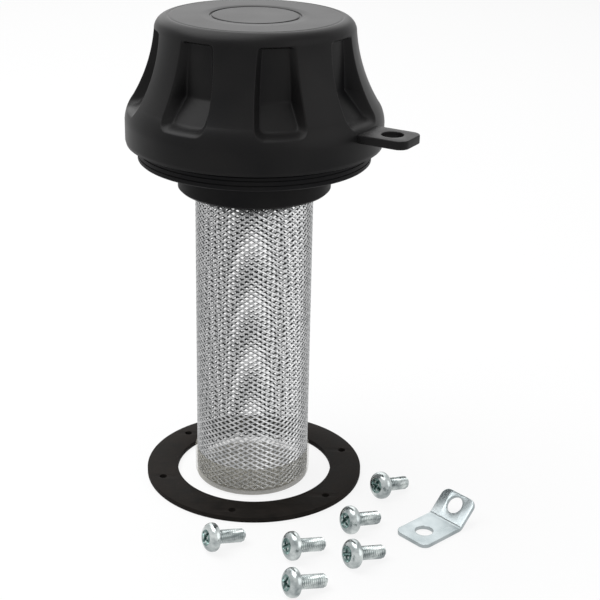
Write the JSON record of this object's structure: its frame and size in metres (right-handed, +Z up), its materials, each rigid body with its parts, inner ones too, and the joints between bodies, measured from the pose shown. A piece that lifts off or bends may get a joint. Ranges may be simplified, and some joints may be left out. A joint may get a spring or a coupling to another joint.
{
  "type": "hydraulic filler breather",
  "caption": "Tank filler breather: a wire-mesh strainer basket hangs from a round flange, and a black grip cap with a padlock lug lifts off and turns to lock.",
  "frame": {"origin": "centre of the underside of the basket's end cup, where it stands on the ground", "axes": "+Z up along the common axis of basket, flange and cap; +X to the right and +Y away from the viewer, the padlock lug points 30 degrees from +X towards the viewer"},
  "size_m": [0.1283, 0.1366, 0.177],
  "materials": {
    "flange_black": "black moulded nylon, fine satin",
    "cap_black": "black moulded nylon, soft sheen",
    "mesh_zinc": "bright zinc-plated expanded steel",
    "frosted_cup": "frosted translucent plastic",
    "gasket_rubber": "dark rubberised cork sheet",
    "seal_rubber": "black nitrile",
    "screw_zinc": "blue zinc plate",
    "bracket_zinc": "bright zinc plate",
    "steel_bright": "zinc-plated steel",
    "spring_steel": "spring steel",
    "filter_paper": "pleated filter paper",
    "retainer_black": "black moulded nylon",
    "insert_brass": "turned brass"
  },
  "bodies": {
    "tank_side": {"flange": "flange_black", "basket_mesh": "mesh_zinc", "basket_end_cup": "frosted_cup", "basket_collar": "steel_bright", "snap_ring": "spring_steel", "gasket": "gasket_rubber", "screw_1": "screw_zinc", "screw_2": "screw_zinc", "screw_3": "screw_zinc", "screw_4": "screw_zinc", "screw_5": "screw_zinc", "screw_6": "screw_zinc", "lock_bracket": "bracket_zinc"},
    "seal_ring": {"cap_seal": "seal_rubber"},
    "cap_side": {"cap": "cap_black", "cap_insert": "retainer_black", "air_filter": "filter_paper", "filter_retainer": "retainer_black", "bayonet_bridge": "steel_bright", "pressure_spring": "spring_steel", "spring_washer": "steel_bright", "boss_nut": "insert_brass", "centre_screw": "screw_zinc"}
  },
  "joints": [
    {"name": "cap_lift", "type": "slide", "parent": "tank_side", "child": "seal_ring", "axis": [0, 0, 1], "range_m": [0, 0.06]},
    {"name": "cap_turn", "type": "hinge", "parent": "seal_ring", "child": "cap_side", "pos_m": [0, 0, 0.135], "axis": [0, 0, 1], "range_deg": [-60, 0]}
  ]
}
